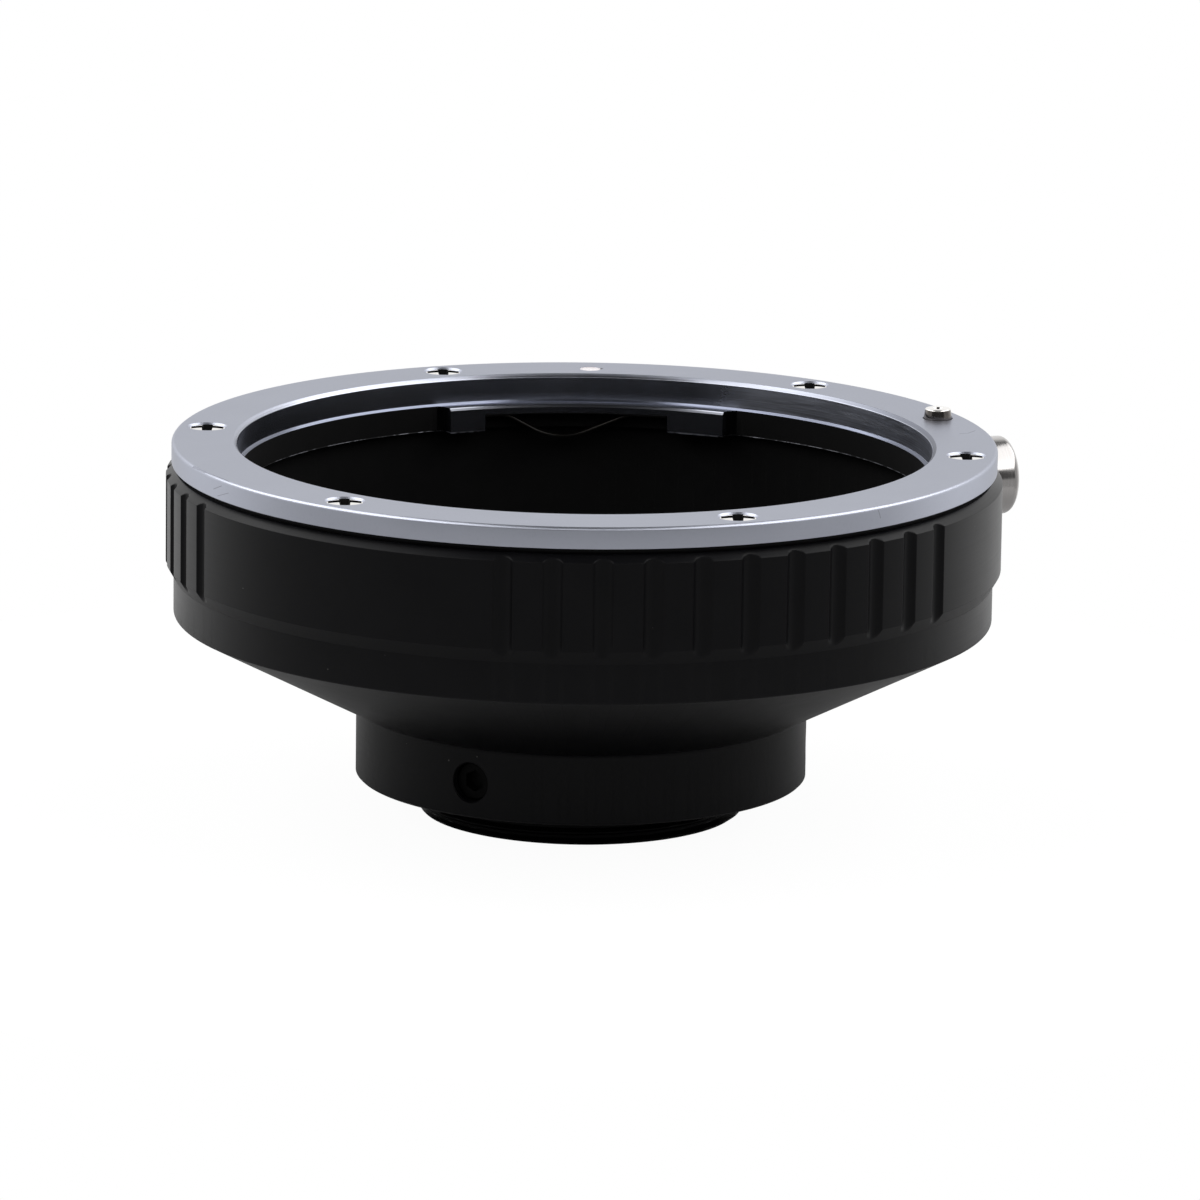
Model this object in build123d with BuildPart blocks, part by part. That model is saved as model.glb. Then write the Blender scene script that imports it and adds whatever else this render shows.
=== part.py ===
from build123d import *
import math
import os

# Lens mount adapter: a bayonet for a wide lens on top, a one-inch camera thread below.
# The frame has +Z along the optical axis towards the lens, its origin at the centre of the
# camera shoulder, and the index dot on +Y. All lengths are in millimetres, all angles in degrees.

os.makedirs("parts", exist_ok=True)

# Lens flange to camera shoulder: a 44.000 lens register less a 17.526 camera register
flange_spacing = 26.474

# Bayonet flange, from its top face downwards and from its throat outwards
throat_r = 27.05
throat_depth = 2.07
throat_chamfer = 0.28
bevel_width = 0.30
bevel_height = 0.14
rim_width = 5.07
rim_round = 0.28
flange_thickness = 1.67
spigot_wall = 1.45
spigot_depth = 4.25

# Three bayonet lugs, left standing between three milled gaps
lug_count = 3
lug_angle = 90.4
lug_width_angle = 50.9
lug_reach = 1.35
lug_chamfer = 0.20
gap_corner_r = 0.90
web_thickness = 0.72
recess_angle = 33.5
recess_shift_angle = 2.0

# Leaf springs bowed under the lugs. The flats and the bow run to the corners that the bends round off.
leaf_thickness = 0.15
leaf_inset = 0.12
leaf_end_gap = 0.10
leaf_short_flat = 1.72
leaf_long_flat = 3.06
leaf_bow = 2.37
leaf_bow_shift = 1.37
leaf_bow_r = 5.00
leaf_end_bend_r = 2.30

# Countersunk flange screws
countersink_angle = 90
screw_count = 6
screw_angle = -6.5
screw_inset = 2.36
screw_r = 0.80
screw_head_r = 1.50
screw_sink = 0.02
screw_length = 4.80
screw_hole_spare = 0.60
cross_reach = 1.33
cross_tip_r = 0.75
cross_width = 0.60
cross_depth = 0.45

# Painted index dot
dot_r = 0.85
dot_inset = 2.20
dot_depth = 0.25

# Lock pin, its return spring and the knob that pulls it down
lock_angle = 22.1
lock_travel = 1.20
pin_r = 1.13
pin_top_r = 0.99
pin_inset = 2.85
pin_rise = 0.80
pin_edge = 0.12
pin_dimple_r = 0.42
pin_dimple_depth = 0.25
pin_tail = 1.00
knob_r = 3.10
knob_length = 3.12
knob_drop = 4.90
knob_edge = 0.55
knob_back_edge = 0.15
stem_r = 0.70
stem_reach = 0.55
spring_length = 4.50
spring_coil_r = 0.82
spring_wire_r = 0.15
spring_turns = 6

# Main body, from the flange seat downwards
seat_rebate = 0.72
gap_height = 0.44
band_step = 0.43
band_height = 7.33
band_chamfer_width = 0.72
band_chamfer_height = 0.55
step_width = 0.62
step_height = 1.07
lower_band_height = 3.05
lower_band_edge = 0.19
cavity_step = 0.95

# Round-bottomed grip flutes, in groups round the band
flute_groups = 3
flutes_in_group = 11
flute_group_angle = -66.6
flute_pitch_angle = 360 / 54
flute_width = 1.55
flute_depth = 0.40

# Collar, thread ring and the set screws between them
thread_r = 12.70
thread_length = 2.78
thread_chamfer = 0.28
thread_wall = 1.70
shoulder_width = 2.30
ring_height = 4.50
ring_edge = 0.20
ledge_width = 2.00
ledge_thickness = 0.83
collar_wall = 2.58
collar_height = 5.484
collar_edge = 0.17
set_screw_count = 3
set_screw_angle = 2.0
set_screw_height = 2.774
set_screw_r = 1.50
set_screw_mouth = 0.10
set_screw_sink = 0.75
set_screw_tip_r = 0.50
set_screw_socket = 1.50
set_screw_socket_depth = 0.80
set_screw_socket_sides = 6
groove_depth = 0.60

# Clearances, and how far a cutting tool runs past the metal
fit_clearance = 0.05
thread_clearance = 0.02
running_clearance = 0.06
slot_clearance = 0.15
knob_clearance = 0.20
stop_clearance = 0.05
spigot_end_gap = 0.15
cut_margin = 1.00

# Radii that follow
flange_r = throat_r + rim_width
spigot_r = throat_r + spigot_wall
gap_r = throat_r - bevel_width
lug_r = gap_r - lug_reach
seat_r = flange_r - seat_rebate
spigot_bore_r = spigot_r + fit_clearance
cavity_r = spigot_bore_r - cavity_step
band_r = flange_r + band_step
lower_band_r = band_r - step_width
ring_r = thread_r + shoulder_width
ring_bore_r = ring_r + fit_clearance
ledge_r = ring_r - ledge_width
light_r = thread_r - thread_wall
collar_r = ring_bore_r + collar_wall
screw_pitch_r = flange_r - screw_inset
pin_pitch_r = throat_r + pin_inset

# Heights above the camera shoulder that follow
lens_face = flange_spacing
seat_z = lens_face - flange_thickness
lug_top = lens_face - throat_depth - bevel_height
web_bottom = lug_top - web_thickness
spigot_bottom = lens_face - spigot_depth
band_top = seat_z - gap_height
band_bottom = band_top - band_height
lower_band_top = band_bottom - step_height
cone_top = lower_band_top - lower_band_height
knob_z = lens_face - knob_drop
pin_bottom = knob_z - stem_r - pin_tail
spring_floor = pin_bottom - spring_length

# Angles that follow
lug_angles = [lug_angle + 360 / lug_count * turn for turn in range(lug_count)]
set_screw_angles = [set_screw_angle + 360 / set_screw_count * turn for turn in range(set_screw_count)]


def radial_plane(angle, height):
    """A plane on the axis that faces outwards at the angle, with its X along the rim and its Y up."""
    outwards = Vector(1, 0, 0).rotate(Axis.Z, angle)
    along_rim = Vector(0, 1, 0).rotate(Axis.Z, angle)
    return Plane(origin=(0, 0, height), x_dir=along_rim, z_dir=outwards)


def sector(inner_r, outer_r, start, span):
    """The closed outline of a piece of a flat ring, drawn in the line builder that is open."""
    outer = CenterArc((0, 0), outer_r, start, span)
    inner = CenterArc((0, 0), inner_r, start, span)
    Line(outer @ 0, inner @ 0)
    Line(outer @ 1, inner @ 1)


def flute_angles():
    """The flutes' places round the band, leaving out those that the knob would cover."""
    knob_half_angle = math.degrees(math.asin((knob_r + flute_width / 2) / band_r))
    angles = []
    for group in range(flute_groups):
        middle = flute_group_angle + 360 / flute_groups * group
        for place in range(flutes_in_group):
            angle = middle + (place - (flutes_in_group - 1) / 2) * flute_pitch_angle
            from_knob = (angle - lock_angle + 180) % 360 - 180
            if abs(from_knob) > knob_half_angle:
                angles.append(angle)
    return angles


lock_plane = radial_plane(lock_angle, knob_z)
pin_spot = Vector(pin_pitch_r, 0, 0).rotate(Axis.Z, lock_angle)
dot_spot = Vector(0, throat_r + dot_inset, 0)

# Main body: one turned funnel, with the flange seat on top and the thread ring's bore below
with BuildPart() as main_body:
    with BuildSketch(Plane.XZ):
        with BuildLine():
            Polyline(
                (ledge_r, ring_height),
                (ring_bore_r, ring_height),
                (ring_bore_r, 0),
                (collar_r, 0),
                (collar_r, collar_height),
                (lower_band_r, cone_top),
                (lower_band_r, lower_band_top),
                (band_r, band_bottom),
                (band_r, band_top - band_chamfer_height),
                (band_r - band_chamfer_width, band_top),
                (seat_r, band_top),
                (seat_r, seat_z),
                (spigot_bore_r, seat_z),
                (spigot_bore_r, spigot_bottom - spigot_end_gap),
                (cavity_r, spigot_bottom - spigot_end_gap),
                (cavity_r, cone_top),
                (ledge_r, ring_height + ledge_thickness),
                close=True,
            )
        make_face()
    revolve(axis=Axis.Z)
    collar_rim = main_body.edges().group_by(Axis.Z)[0].sort_by(SortBy.RADIUS)[-1]
    chamfer(collar_rim, length=collar_edge)
    cone_rim = main_body.edges().filter_by_position(Axis.Z, cone_top, cone_top).sort_by(SortBy.RADIUS)[-1]
    fillet(cone_rim, radius=lower_band_edge)

    # Grip flutes, cut down the band until they run out on the step below it
    flute_r = (flute_width**2 / 4 + flute_depth**2) / (2 * flute_depth)
    flute_centre = Vector(band_r - flute_depth + flute_r, 0, 0)
    with BuildSketch(Plane.XY.offset(lower_band_top)):
        with Locations([flute_centre.rotate(Axis.Z, angle) for angle in flute_angles()]):
            Circle(flute_r)
    extrude(amount=band_top + cut_margin - lower_band_top, mode=Mode.SUBTRACT)

    # Tapped holes under the flange, and the blind bore of the lock pin and its spring
    with Locations(Plane.XY.offset(seat_z)):
        with PolarLocations(screw_pitch_r, screw_count, start_angle=screw_angle):
            Hole(screw_r + thread_clearance, depth=screw_length + screw_hole_spare - flange_thickness)
        with Locations(pin_spot):
            Hole(pin_r + running_clearance, depth=seat_z - spring_floor)

    # Upright slot that the knob's stem slides in
    slot_r = stem_r + slot_clearance
    stem_top = stem_r + stop_clearance
    stem_bottom = -stem_r - slot_clearance - lock_travel
    with BuildSketch(lock_plane.offset(pin_pitch_r)):
        with Locations((0, (stem_top + stem_bottom) / 2)):
            SlotOverall(stem_top - stem_bottom, 2 * slot_r, rotation=90)
    extrude(amount=band_r - pin_pitch_r + cut_margin, mode=Mode.SUBTRACT)

    # Tapped holes through the collar
    for angle in set_screw_angles:
        with Locations(radial_plane(angle, set_screw_height).offset(collar_r)):
            CounterSinkHole(
                radius=set_screw_r + thread_clearance,
                counter_sink_radius=set_screw_r + thread_clearance + set_screw_mouth,
                depth=collar_wall + cut_margin,
                counter_sink_angle=countersink_angle,
            )
main_body.part.label = "main_body"
export_step(main_body.part, "parts/main_body.step")

# Bayonet flange: a turned ring with an inner shelf, whose milled gaps leave the lugs
with BuildPart() as bayonet_flange:
    with BuildSketch(Plane.XZ):
        with BuildLine():
            Polyline(
                (throat_r + throat_chamfer, lens_face),
                (flange_r, lens_face),
                (flange_r, seat_z),
                (spigot_r, seat_z),
                (spigot_r, spigot_bottom),
                (lug_r, spigot_bottom),
                (lug_r, lug_top - lug_chamfer),
                (lug_r + lug_chamfer, lug_top),
                (gap_r, lug_top),
                (throat_r, lug_top + bevel_height),
                (throat_r, lens_face - throat_chamfer),
                close=True,
            )
        make_face()
    revolve(axis=Axis.Z)
    outer_rim = bayonet_flange.edges().group_by(Axis.Z)[-1].sort_by(SortBy.RADIUS)[-1]
    fillet(outer_rim, radius=rim_round)

    for angle in lug_angles:
        # Gap beside the lug, with the cutter's radius left in its two outer corners
        with BuildSketch(Plane.XY.offset(lug_top)) as gap:
            with BuildLine():
                gap_span = 360 / lug_count - lug_width_angle
                sector(lug_r - cut_margin, gap_r, angle + lug_width_angle / 2, gap_span)
            make_face()
            outer_corners = gap.vertices().sort_by(lambda corner: corner.center().length)[-2:]
            fillet(outer_corners, radius=gap_corner_r)
        extrude(amount=spigot_bottom - lug_top - cut_margin, mode=Mode.SUBTRACT)

        # Recess under the lug for its leaf spring
        with BuildSketch(Plane.XY.offset(web_bottom)):
            with BuildLine():
                recess_start = angle + recess_shift_angle - recess_angle / 2
                sector(lug_r - cut_margin, gap_r, recess_start, recess_angle)
            make_face()
        extrude(amount=spigot_bottom - web_bottom - cut_margin, mode=Mode.SUBTRACT)

    with Locations(Plane.XY.offset(lens_face)):
        with PolarLocations(screw_pitch_r, screw_count, start_angle=screw_angle):
            CounterSinkHole(
                radius=screw_r + fit_clearance,
                counter_sink_radius=screw_head_r + screw_sink + fit_clearance,
                counter_sink_angle=countersink_angle,
            )
        with Locations(pin_spot):
            Hole(pin_r + running_clearance)
        with Locations(dot_spot):
            Hole(dot_r, depth=dot_depth)
bayonet_flange.part.label = "bayonet_flange"
export_step(bayonet_flange.part, "parts/bayonet_flange.step")

# Index dot: paint that fills a shallow drilled spot
with BuildPart() as index_dot:
    with BuildSketch(Plane.XY.offset(lens_face - dot_depth)):
        with Locations(dot_spot):
            Circle(dot_r - thread_clearance)
    extrude(amount=dot_depth)
index_dot.part.label = "index_dot"
export_step(index_dot.part, "parts/index_dot.step")

# Cross recess of a flange screw: two slots that narrow towards the recess's tip
with BuildPart() as cross_recess:
    for turn in (0, 90):
        Box(
            2 * cross_reach,
            cross_width,
            cross_depth,
            rotation=(0, 0, turn),
            align=(Align.CENTER, Align.CENTER, Align.MAX),
        )
    Cone(
        cross_tip_r,
        cross_reach,
        cross_depth,
        align=(Align.CENTER, Align.CENTER, Align.MAX),
        mode=Mode.INTERSECT,
    )

# Flange screws: countersunk heads, all with their recesses turned the same way
with BuildPart() as flange_screws:
    head_height = screw_head_r - screw_r
    with Locations(Plane.XY.offset(lens_face - screw_sink)):
        with PolarLocations(screw_pitch_r, screw_count, start_angle=screw_angle, rotate=False):
            Cone(screw_r, screw_head_r, head_height, align=(Align.CENTER, Align.CENTER, Align.MAX))
            Cylinder(screw_r, screw_length, align=(Align.CENTER, Align.CENTER, Align.MAX))
            add(cross_recess.part, mode=Mode.SUBTRACT)
flange_screws.part.label = "flange_screws"
export_step(flange_screws.part, "parts/flange_screws.step")

# Leaf springs: thin strips that lie flat on the web at both ends and bow down between them
leaf_inner_r = lug_r + leaf_inset
leaf_outer_r = gap_r - leaf_inset
leaf_half = leaf_inner_r * math.sin(math.radians(recess_angle / 2)) - leaf_end_gap
leaf_line_z = -leaf_thickness / 2
for number, angle in enumerate(lug_angles, start=1):
    with BuildPart() as leaf_spring:
        leaf_plane = radial_plane(angle + recess_shift_angle, web_bottom)
        with BuildSketch(leaf_plane.offset(leaf_inner_r - cut_margin)):
            with BuildLine():
                FilletPolyline(
                    (-leaf_half, leaf_line_z),
                    (leaf_long_flat - leaf_half, leaf_line_z),
                    (leaf_bow_shift, leaf_line_z - leaf_bow),
                    (leaf_half - leaf_short_flat, leaf_line_z),
                    (leaf_half, leaf_line_z),
                    radius=(leaf_end_bend_r, leaf_bow_r, leaf_end_bend_r),
                )
            trace(line_width=leaf_thickness)
        extrude(amount=leaf_outer_r - leaf_inner_r + 2 * cut_margin)
        with BuildSketch(Plane.XY.offset(web_bottom)):
            Circle(leaf_outer_r)
            Circle(leaf_inner_r, mode=Mode.SUBTRACT)
        extrude(amount=-leaf_bow - leaf_thickness - cut_margin, mode=Mode.INTERSECT)
    leaf_spring.part.label = f"leaf_spring_{number}"
    export_step(leaf_spring.part, f"parts/leaf_spring_{number}.step")

# Lock pin: rises through the flange into the lens and tapers there, with a tapped cross hole for the knob
with BuildPart() as lock_pin:
    with BuildSketch(Plane.XY.offset(pin_bottom)):
        with Locations(pin_spot):
            Circle(pin_r)
    extrude(amount=lens_face - pin_bottom)
    with Locations(Plane.XY.offset(lens_face)):
        with Locations(pin_spot):
            Cone(pin_r, pin_top_r, pin_rise, align=(Align.CENTER, Align.CENTER, Align.MIN))
    fillet(lock_pin.edges().group_by(Axis.Z)[-1], radius=pin_edge)
    with Locations(Plane.XY.offset(lens_face + pin_rise)):
        with Locations(pin_spot):
            CounterSinkHole(
                radius=pin_dimple_r / 2,
                counter_sink_radius=pin_dimple_r,
                depth=pin_dimple_depth,
                counter_sink_angle=countersink_angle,
            )
    with BuildSketch(lock_plane.offset(pin_pitch_r - stem_reach)):
        Circle(stem_r + thread_clearance)
    extrude(amount=pin_r + stem_reach + cut_margin, mode=Mode.SUBTRACT)
lock_pin.part.label = "lock_pin"
export_step(lock_pin.part, "parts/lock_pin.step")

# Lock spring: a small coil between the pin and the floor of its bore
with BuildPart() as lock_spring:
    with BuildLine() as coil:
        coil_height = spring_length - 2 * spring_wire_r
        Helix(
            pitch=coil_height / spring_turns,
            height=coil_height,
            radius=spring_coil_r,
            center=(pin_spot.X, pin_spot.Y, spring_floor + spring_wire_r),
        )
    with BuildSketch(Plane(origin=coil.line @ 0, z_dir=coil.line % 0)):
        Circle(spring_wire_r)
    sweep()
lock_spring.part.label = "lock_spring"
export_step(lock_spring.part, "parts/lock_spring.step")

# Release knob: a turned button outside the band, on a stem that screws into the pin
with BuildPart() as release_knob:
    knob_back = band_r + knob_clearance
    with BuildSketch(lock_plane.offset(knob_back)):
        Circle(knob_r)
    extrude(amount=knob_length)
    knob_rims = release_knob.edges().filter_by(GeomType.CIRCLE).sort_by(lock_plane.location.z_axis)
    fillet(knob_rims[-1], radius=knob_edge)
    chamfer(knob_rims[0], length=knob_back_edge)
    with BuildSketch(lock_plane.offset(pin_pitch_r - stem_reach)):
        Circle(stem_r)
    extrude(amount=knob_back - pin_pitch_r + stem_reach)
release_knob.part.label = "release_knob"
export_step(release_knob.part, "parts/release_knob.step")

# Thread ring: sits in the collar against its ledge, with the camera thread below the shoulder
with BuildPart() as thread_ring:
    with BuildSketch(Plane.XZ):
        with BuildLine():
            Polyline(
                (light_r, -thread_length),
                (thread_r - thread_chamfer, -thread_length),
                (thread_r, thread_chamfer - thread_length),
                (thread_r, 0),
                (ring_r, 0),
                (ring_r, set_screw_height - groove_depth),
                (ring_r - groove_depth, set_screw_height),
                (ring_r, set_screw_height + groove_depth),
                (ring_r, ring_height - ring_edge),
                (ring_r - ring_edge, ring_height),
                (light_r, ring_height),
                close=True,
            )
        make_face()
    revolve(axis=Axis.Z)
thread_ring.part.label = "thread_ring"
export_step(thread_ring.part, "parts/thread_ring.step")

# Set screws: headless, with a hexagon socket, their cone points in the thread ring's groove
with BuildPart() as set_screws:
    # The cone's flat tip stands where its flank just clears the groove's flank
    tip_at = ring_r - groove_depth + set_screw_tip_r + thread_clearance
    shank_at = tip_at + set_screw_r - set_screw_tip_r
    outer_at = collar_r - set_screw_sink
    for angle in set_screw_angles:
        screw_plane = radial_plane(angle, set_screw_height)
        with BuildSketch(screw_plane.offset(shank_at)):
            Circle(set_screw_r)
        extrude(amount=outer_at - shank_at)
        with Locations(screw_plane.offset(tip_at)):
            Cone(
                set_screw_tip_r,
                set_screw_r,
                shank_at - tip_at,
                align=(Align.CENTER, Align.CENTER, Align.MIN),
            )
        with BuildSketch(screw_plane.offset(outer_at)):
            RegularPolygon(set_screw_socket / 2, set_screw_socket_sides, major_radius=False)
        extrude(amount=-set_screw_socket_depth, mode=Mode.SUBTRACT)
set_screws.part.label = "set_screws"
export_step(set_screws.part, "parts/set_screws.step")
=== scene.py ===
import math
from math import cos, radians, sin

import bmesh
import bpy
import numpy
from mathutils import Matrix, Vector


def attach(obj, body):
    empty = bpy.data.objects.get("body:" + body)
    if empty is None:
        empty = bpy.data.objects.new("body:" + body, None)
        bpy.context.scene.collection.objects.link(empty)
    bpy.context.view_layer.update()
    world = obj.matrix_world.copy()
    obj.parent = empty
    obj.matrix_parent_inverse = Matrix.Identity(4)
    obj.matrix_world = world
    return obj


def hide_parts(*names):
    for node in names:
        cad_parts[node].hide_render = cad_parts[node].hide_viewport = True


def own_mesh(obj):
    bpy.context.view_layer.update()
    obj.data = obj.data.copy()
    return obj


# Dresses the lens mount adapter: each piece is rebuilt with fine edges, flutes, threads and finishes,
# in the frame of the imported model. Lengths are in millimetres until a mesh is made.

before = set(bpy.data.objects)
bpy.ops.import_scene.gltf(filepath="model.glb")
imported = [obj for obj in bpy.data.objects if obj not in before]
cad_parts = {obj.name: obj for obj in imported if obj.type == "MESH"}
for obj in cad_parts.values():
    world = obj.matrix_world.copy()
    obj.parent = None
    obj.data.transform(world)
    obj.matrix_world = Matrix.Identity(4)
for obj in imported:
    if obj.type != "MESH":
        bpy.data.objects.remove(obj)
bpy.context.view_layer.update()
scene = bpy.context.scene

MM = 0.001
SAME_SPOT = 1e-7
SMOOTH_ANGLE = radians(24)
BARE_METAL = {"Metallic": 1.0}

# Bayonet flange
lens_face = 26.474
throat_r = 27.05
throat_depth = 2.07
throat_chamfer = 0.28
bevel_width = 0.30
bevel_height = 0.14
flange_r = 32.12
rim_round = 0.28
flange_thickness = 1.67
spigot_r = 28.50
spigot_depth = 4.25
fine_edge = 0.05
gap_burr = 0.02
burr_height = 0.06

# Lugs, the gaps between them and the recesses under them
lug_count = 3
lug_angle = 90.4
lug_width_angle = 50.9
lug_reach = 1.35
lug_chamfer = 0.20
gap_corner_r = 0.90
web_thickness = 0.72
recess_angle = 33.5
recess_shift_angle = 2.0
flange_step_angle = 0.5
corner_step_angle = 0.2

# Leaf springs
leaf_thickness = 0.15
leaf_inset = 0.12
leaf_end_gap = 0.10
leaf_short_flat = 1.72
leaf_long_flat = 3.06
leaf_bow = 2.37
leaf_bow_shift = 1.37
leaf_bow_r = 5.00
leaf_end_bend_r = 2.30
leaf_edge = 0.03
leaf_step = 0.20

# Flange screws
screw_count = 6
screw_angle = -6.5
screw_pitch_r = 29.76
screw_r = 0.80
screw_head_r = 1.50
screw_sink = 0.02
screw_dome = 0.11
screw_length = 4.80
screw_tip_edge = 0.20
cross_reach = 1.36
cross_tip_r = 0.75
cross_width = 0.84
cross_end_width = 0.80
cross_depth = 0.45
cross_floor_share = 0.6

# Index dot
dot_r = 0.85
dot_pitch_r = 29.25
dot_depth = 0.25
dot_sink = 0.05

# Lock pin, knob and spring
lock_angle = 22.1
lock_travel = 1.20
pin_r = 1.13
pin_top_r = 0.99
pin_pitch_r = 29.90
pin_rise = 0.80
pin_edge = 0.12
pin_dimple_r = 0.42
pin_dimple_depth = 0.25
pin_tail = 1.00
knob_r = 3.10
knob_length = 3.12
knob_drop = 4.90
knob_edge = 0.55
knob_back_edge = 0.15
knob_clearance = 0.20
stem_r = 0.70
stem_reach = 0.55
spring_length = 4.50
spring_coil_r = 0.82
spring_wire_r = 0.15
spring_turns = 6

# Main body
seat_r = 31.40
gap_height = 0.44
band_r = 32.55
band_height = 7.33
band_chamfer_width = 0.72
band_chamfer_height = 0.55
lower_band_r = 31.93
step_height = 1.07
lower_band_height = 3.05
lower_band_edge = 0.19
band_blunt = 0.07
spigot_bore_r = 28.55
spigot_end_gap = 0.15
cavity_r = 27.60
cavity_round = 0.30
ledge_r = 13.00
ledge_thickness = 0.83
ledge_edge = 0.08
ring_bore_r = 15.05
ring_height = 4.50
collar_r = 17.63
collar_height = 5.484
collar_round = 0.35
collar_edge = 0.17

# Grip flutes
flute_groups = 3
flutes_in_group = 11
flute_group_angle = -66.6
flute_pitch_angle = 360 / 54
flute_width = 1.55
flute_depth = 0.40
flute_edge = 0.06
flute_row = 0.12

# Thread ring and set screws
thread_r = 12.70
thread_length = 2.78
thread_chamfer = 0.28
thread_pitch = 25.4 / 32
thread_depth = 0.43
thread_runout = 0.35
thread_crest_share = 0.125
thread_flank_share = 0.625
light_r = 11.00
ring_r = 15.00
ring_edge = 0.20
groove_depth = 0.60
set_screw_count = 3
set_screw_angle = 2.0
set_screw_height = 2.774
set_screw_r = 1.50
set_screw_mouth = 0.10
set_screw_sink = 0.75
set_screw_tip_r = 0.50
set_screw_socket = 1.50
set_screw_socket_depth = 0.80
set_screw_pitch = 0.50
set_screw_thread = 0.12
set_screw_edge = 0.12
set_screw_overrun = 0.40

thread_clearance = 0.02
fit_clearance = 0.05
running_clearance = 0.06
slot_clearance = 0.15
stop_clearance = 0.05
cut_margin = 1.00
cut_above = 0.10

# Scuffs on the flange, and in the last two a painted shade along the rim's rounded edge: both ends and the
# width
chrome_scuffs_and_rim_shade = (
    ((29.31, 5.21, 26.47), (29.94, 5.41, 26.47), 0.07),
    ((29.94, 5.41, 26.47), (30.52, 6.44, 26.47), 0.06),
    ((28.85, -14.12, 26.47), (29.96, -12.54, 26.47), 0.06),
    ((-28.03, -15.69, 25.49), (-27.36, -16.83, 25.98), 0.035),
    ((-27.69, -16.28, 25.08), (-26.78, -17.74, 25.63), 0.03),
    ((22.45, -22.97, 26.19), (22.63, -22.80, 25.57), 0.045),
    # Painted shade along the rim's rounded edge, where it turns from dark to bright
    ((-29.80, -11.74, 26.38), (-28.76, -14.03, 26.42), 0.13),
    ((-28.76, -14.03, 26.44), (-26.75, -17.37, 26.47), 0.06),
)
# Dark line along the index dot's edge on the +X side: both ends and the width
dot_dark_line = ((0.68, 29.05, 26.47), (0.86, 29.40, 26.47), 0.24)

# What follows from these
gap_r = throat_r - bevel_width
lug_r = gap_r - lug_reach
seat_z = lens_face - flange_thickness
lug_top = lens_face - throat_depth - bevel_height
web_bottom = lug_top - web_thickness
spigot_bottom = lens_face - spigot_depth
band_top = seat_z - gap_height
band_bottom = band_top - band_height
lower_band_top = band_bottom - step_height
cone_top = lower_band_top - lower_band_height
knob_z = lens_face - knob_drop
pin_bottom = knob_z - stem_r - pin_tail
spring_floor = pin_bottom - spring_length
flute_r = (flute_width**2 / 4 + flute_depth**2) / (2 * flute_depth)
flute_centre_r = band_r - flute_depth + flute_r
knob_half_angle = math.degrees(math.asin((knob_r + flute_width / 2) / band_r))
lug_angles = [lug_angle + 360 / lug_count * turn for turn in range(lug_count)]
screw_angles = [screw_angle + 360 / screw_count * turn for turn in range(screw_count)]
set_screw_angles = [set_screw_angle + 360 / set_screw_count * turn for turn in range(set_screw_count)]


class Value:
    """One output of a node. Arithmetic on it adds Math nodes to the same tree."""

    def __init__(self, graph, socket):
        self.graph = graph
        self.socket = socket

    def math(self, operation, *others):
        return self.graph.node("ShaderNodeMath", {"operation": operation}, [self, *others])

    def clamp(self, low, high):
        return self.math("MAXIMUM", low).math("MINIMUM", high)

    def output(self, name):
        return Value(self.graph, self.socket.node.outputs[name])

    def __add__(self, other):
        return self.math("ADD", other)

    def __sub__(self, other):
        return self.math("SUBTRACT", other)

    def __rsub__(self, other):
        return self.graph.node("ShaderNodeMath", {"operation": "SUBTRACT"}, [other, self])

    def __mul__(self, other):
        return self.math("MULTIPLY", other)

    def __truediv__(self, other):
        return self.math("DIVIDE", other)

    def __pow__(self, other):
        return self.math("POWER", other)

    def __neg__(self):
        return self * -1

    def __abs__(self):
        return self.math("ABSOLUTE")

    def __gt__(self, other):
        return self.math("GREATER_THAN", other)

    def __lt__(self, other):
        return self.math("LESS_THAN", other)

    __radd__ = __add__
    __rmul__ = __mul__


class Graph:
    """A node tree that is written as expressions."""

    def __init__(self, tree):
        self.tree = tree
        tree.nodes.clear()

    def node(self, kind, settings=None, sockets=(), output=0):
        made = self.tree.nodes.new(kind)
        for name, setting in (settings or {}).items():
            setattr(made, name, setting)
        pairs = sockets.items() if isinstance(sockets, dict) else enumerate(sockets)
        for key, value in pairs:
            if isinstance(value, Value):
                self.tree.links.new(value.socket, made.inputs[key])
            else:
                made.inputs[key].default_value = value
        return Value(self, made.outputs[output]) if made.outputs else None

    def vector(self, *parts):
        return self.node("ShaderNodeCombineXYZ", sockets=parts)

    def parts(self, vector):
        x = self.node("ShaderNodeSeparateXYZ", sockets=[vector])
        return x, x.output("Y"), x.output("Z")

    def ramp(self, value, low, high):
        """0 up to low, 1 from high on, and smooth between them. low may be above high."""
        sockets = {"Value": value, "From Min": low, "From Max": high}
        return self.node("ShaderNodeMapRange", {"interpolation_type": "SMOOTHSTEP"}, sockets)

    def blend(self, factor, first, second):
        """Colour that goes from the first to the second."""
        return self.node("ShaderNodeMix", {"data_type": "RGBA"}, {0: factor, 6: first, 7: second}, 2)

    def noise(self, vector, scale, detail=2.0, roughness=0.5):
        sockets = {"Vector": vector, "Scale": scale, "Detail": detail, "Roughness": roughness}
        return self.node("ShaderNodeTexNoise", sockets=sockets)

    def bump(self, height, depth, under=None):
        """Normal from a height between 0 and 1, for marks of that depth in millimetres."""
        sockets = {"Strength": 1.0, "Distance": depth * MM, "Height": height}
        if under:
            sockets["Normal"] = under
        return self.node("ShaderNodeBump", sockets=sockets)


def distance(x, y):
    return (x * x + y * y) ** 0.5


# Finishes


def finish(name, recipe):
    made = bpy.data.materials.new(name)
    made.use_nodes = True
    graph = Graph(made.node_tree)
    graph.node("ShaderNodeOutputMaterial", sockets={"Surface": recipe(graph)})
    return made


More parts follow.
